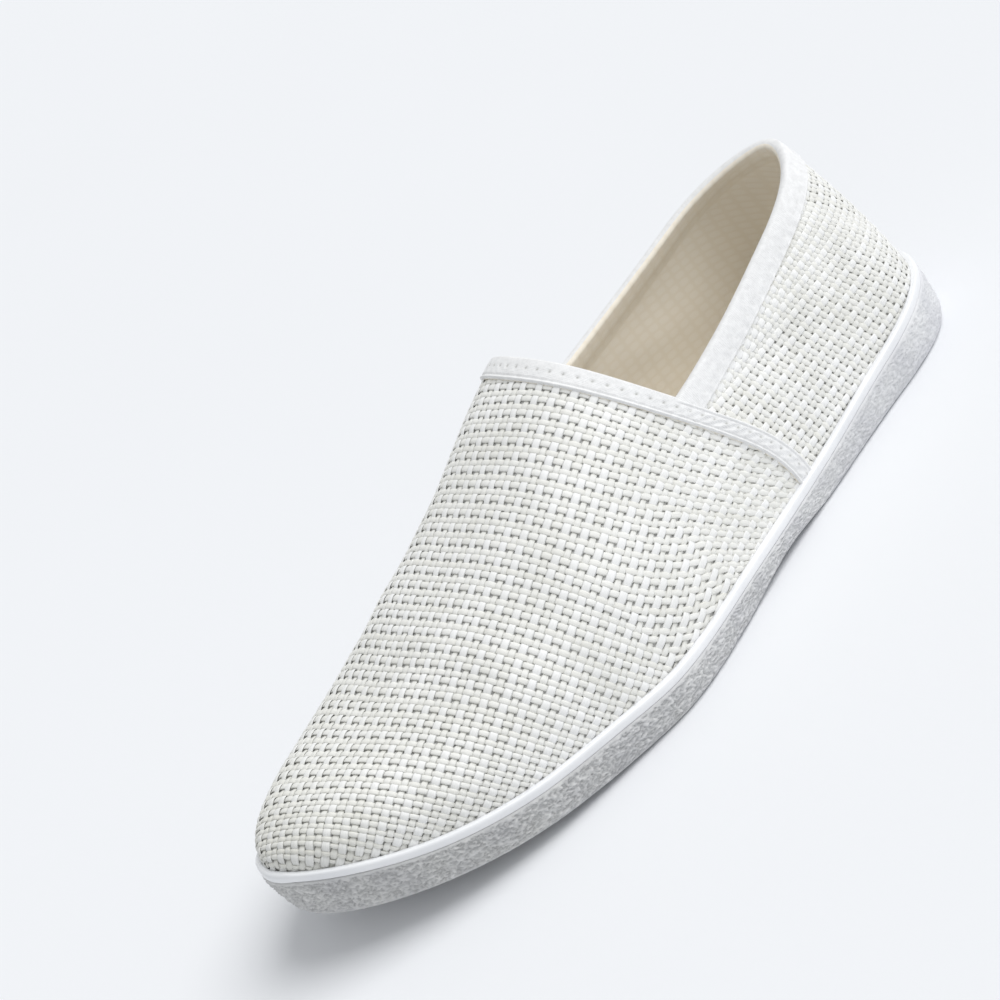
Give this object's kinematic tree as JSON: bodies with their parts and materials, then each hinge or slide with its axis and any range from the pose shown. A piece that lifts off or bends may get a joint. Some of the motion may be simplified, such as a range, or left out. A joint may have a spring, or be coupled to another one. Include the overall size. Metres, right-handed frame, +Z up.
{
  "type": "woven slip-on shoe",
  "caption": "Low slip-on shoe for the left foot, with a coarse woven upper, taped throat and collar, and a rubber sole with a rounded bead round its top.",
  "frame": {"origin": "on the floor, under the middle of the whole shoe's box", "axes": "+X from the heel towards the toe, +Y to the outer side of the left foot, +Z up"},
  "size_m": [0.2858, 0.1018, 0.0885],
  "materials": {
    "sole_rubber": "matt, crinkled side",
    "bead_rubber": "smooth, slightly glossy",
    "woven_upper": "coarse paired basket weave",
    "binding_tape": "fine woven tape, stitched",
    "insole_cloth": "smooth cloth, tan"
  },
  "bodies": {
    "root": {"outsole": "sole_rubber", "welt_bead": "bead_rubber", "upper": "woven_upper", "throat_binding": "binding_tape", "collar_binding": "binding_tape", "insole": "insole_cloth"}
  },
  "joints": []
}
